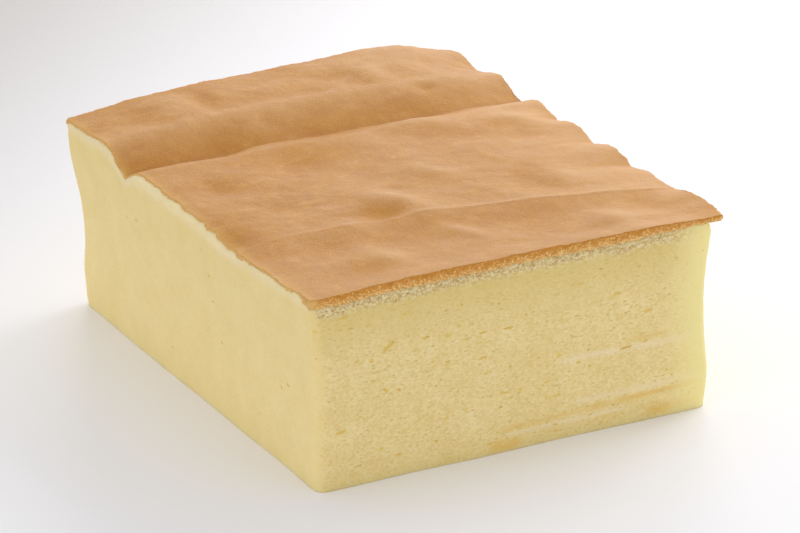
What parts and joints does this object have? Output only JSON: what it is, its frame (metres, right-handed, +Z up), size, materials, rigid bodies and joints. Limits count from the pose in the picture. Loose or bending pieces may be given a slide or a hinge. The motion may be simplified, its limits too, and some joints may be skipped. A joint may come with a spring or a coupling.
{
  "type": "castella sponge cake",
  "caption": "Trimmed block of fine yellow sponge cake under a thin, wrinkled brown crust, resting on its flat base.",
  "frame": {"origin": "on the flat base, under the middle of the block's whole size", "axes": "+X across the cut front face to the right, +Y from the front face to the back, +Z up out of the crust"},
  "size_m": [0.1288, 0.153, 0.0618],
  "materials": {
    "crumb": "fine soft sponge crumb with small pores, matte, slightly translucent",
    "crust": "thin browned crust, matte, softly wrinkled",
    "under_crust": "pale, coarse and airy crumb just under the crust, matte"
  },
  "bodies": {
    "root": {"castella_cake": "crumb"}
  },
  "joints": []
}
